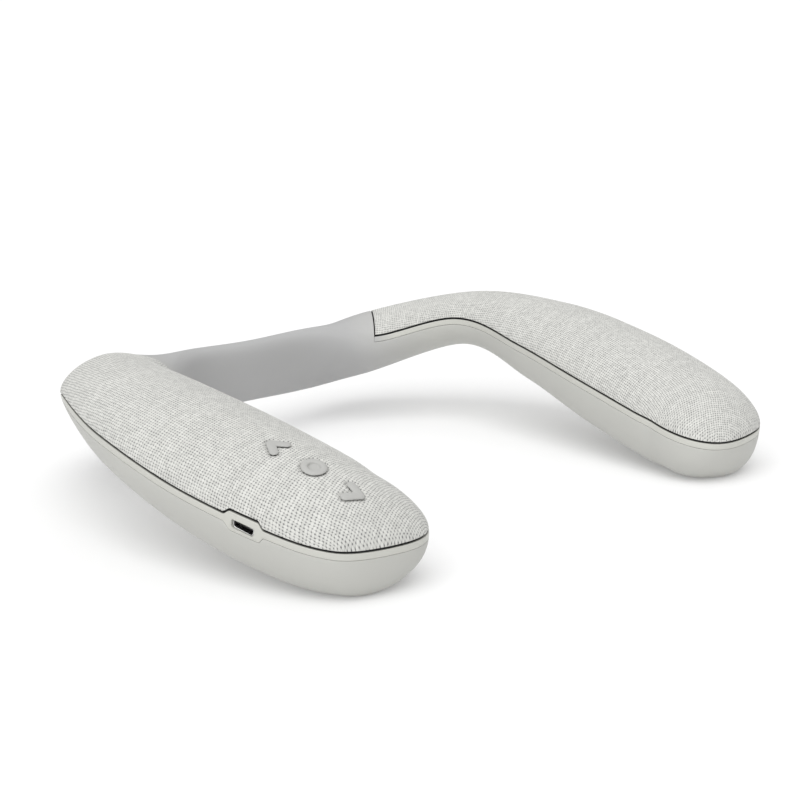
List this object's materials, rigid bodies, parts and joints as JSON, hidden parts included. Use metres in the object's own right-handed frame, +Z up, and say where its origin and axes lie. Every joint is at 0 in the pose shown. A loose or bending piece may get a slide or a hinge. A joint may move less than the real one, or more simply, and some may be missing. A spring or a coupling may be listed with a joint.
{
  "type": "neckband speaker",
  "caption": "Wearable U-shaped neckband speaker: a sprung silicone band joins curved arms with woven fabric tops over sealed drivers, raised keys and a charging socket on one arm.",
  "frame": {"origin": "on the resting plane, under the centre of the whole object's box", "axes": "+X to the wearer's left, across the band; -Y from the band towards the tips of the arms; +Z up, away from the face that it rests on"},
  "size_m": [0.2292, 0.171, 0.0483],
  "materials": {
    "silicone": "matte soft-touch silicone, neutral grey",
    "shell": "matte soft-touch over-mould, warm light grey",
    "trim": "satin moulded plastic, ivory",
    "fabric": "open plain-weave speaker cloth, off-white with darker gaps",
    "grille": "matte dark moulding with sound holes",
    "chassis": "matte black moulding",
    "steel": "plain steel",
    "magnet": "dark coated ferrite",
    "cone": "matte black cone",
    "key": "smooth silicone, light grey",
    "board": "green circuit board",
    "contact": "black moulded plastic",
    "cable": "black insulation",
    "battery": "foil-wrapped lithium pouch cell"
  },
  "bodies": {
    "neckband": {"band_sleeve": "silicone", "spring_strip": "steel", "band_harness": "cable"},
    "left_arm": {"left_flex_sleeve": "silicone", "left_lower_shell": "shell", "left_trim_ring": "trim", "left_grille": "grille", "left_fabric_cover": "fabric", "left_chassis": "chassis", "left_driver_basket": "steel", "left_driver_magnet": "magnet", "left_battery": "battery", "left_strip_clamp": "steel", "left_rear_screw": "steel", "left_front_screw": "steel", "amplifier_board": "board"},
    "right_arm": {"right_flex_sleeve": "silicone", "right_lower_shell": "shell", "right_trim_ring": "trim", "right_grille": "grille", "right_fabric_cover": "fabric", "right_chassis": "chassis", "right_driver_basket": "steel", "right_driver_magnet": "magnet", "right_battery": "battery", "right_strip_clamp": "steel", "right_rear_screw": "steel", "right_front_screw": "steel", "back_switch": "contact", "play_switch": "contact", "forward_switch": "contact", "keypad_flex": "board", "main_board": "board", "bluetooth_module": "steel", "microphone": "steel", "socket_shell": "steel", "socket_tongue": "contact"},
    "left_cone": {"left_driver_cone": "cone"},
    "right_cone": {"right_driver_cone": "cone"},
    "back_key": {"back_key": "key"},
    "play_key": {"play_key": "key"},
    "forward_key": {"forward_key": "key"}
  },
  "joints": [
    {"name": "left_arm_flex", "type": "hinge", "parent": "neckband", "child": "left_arm", "pos_m": [0.0402, 0.0738, 0.0248], "axis": [0, 0, 1], "range_deg": [-6, 15], "stiffness_Nm_per_rad": 0.7, "deforming": ["left_flex_sleeve", "spring_strip", "band_harness"]},
    {"name": "right_arm_flex", "type": "hinge", "parent": "neckband", "child": "right_arm", "pos_m": [-0.0402, 0.0738, 0.0248], "axis": [0, 0, -1], "range_deg": [-6, 15], "stiffness_Nm_per_rad": 0.7, "deforming": ["right_flex_sleeve", "spring_strip", "band_harness"]},
    {"name": "left_cone_travel", "type": "slide", "parent": "left_arm", "child": "left_cone", "axis": [0.0099, -0.2171, 0.9761], "range_m": [-0.0006, 0.0006], "stiffness_N_per_m": 800},
    {"name": "right_cone_travel", "type": "slide", "parent": "right_arm", "child": "right_cone", "axis": [-0.0099, -0.2171, 0.9761], "range_m": [-0.0006, 0.0006], "stiffness_N_per_m": 800},
    {"name": "back_key_press", "type": "slide", "parent": "right_arm", "child": "back_key", "axis": [0.173, 0.2661, -0.9483], "range_m": [0, 0.0004], "stiffness_N_per_m": 2500},
    {"name": "play_key_press", "type": "slide", "parent": "right_arm", "child": "play_key", "axis": [0.1485, 0.3379, -0.9294], "range_m": [0, 0.0004], "stiffness_N_per_m": 2500},
    {"name": "forward_key_press", "type": "slide", "parent": "right_arm", "child": "forward_key", "axis": [0.0541, 0.4753, -0.8782], "range_m": [0, 0.0004], "stiffness_N_per_m": 2500}
  ]
}
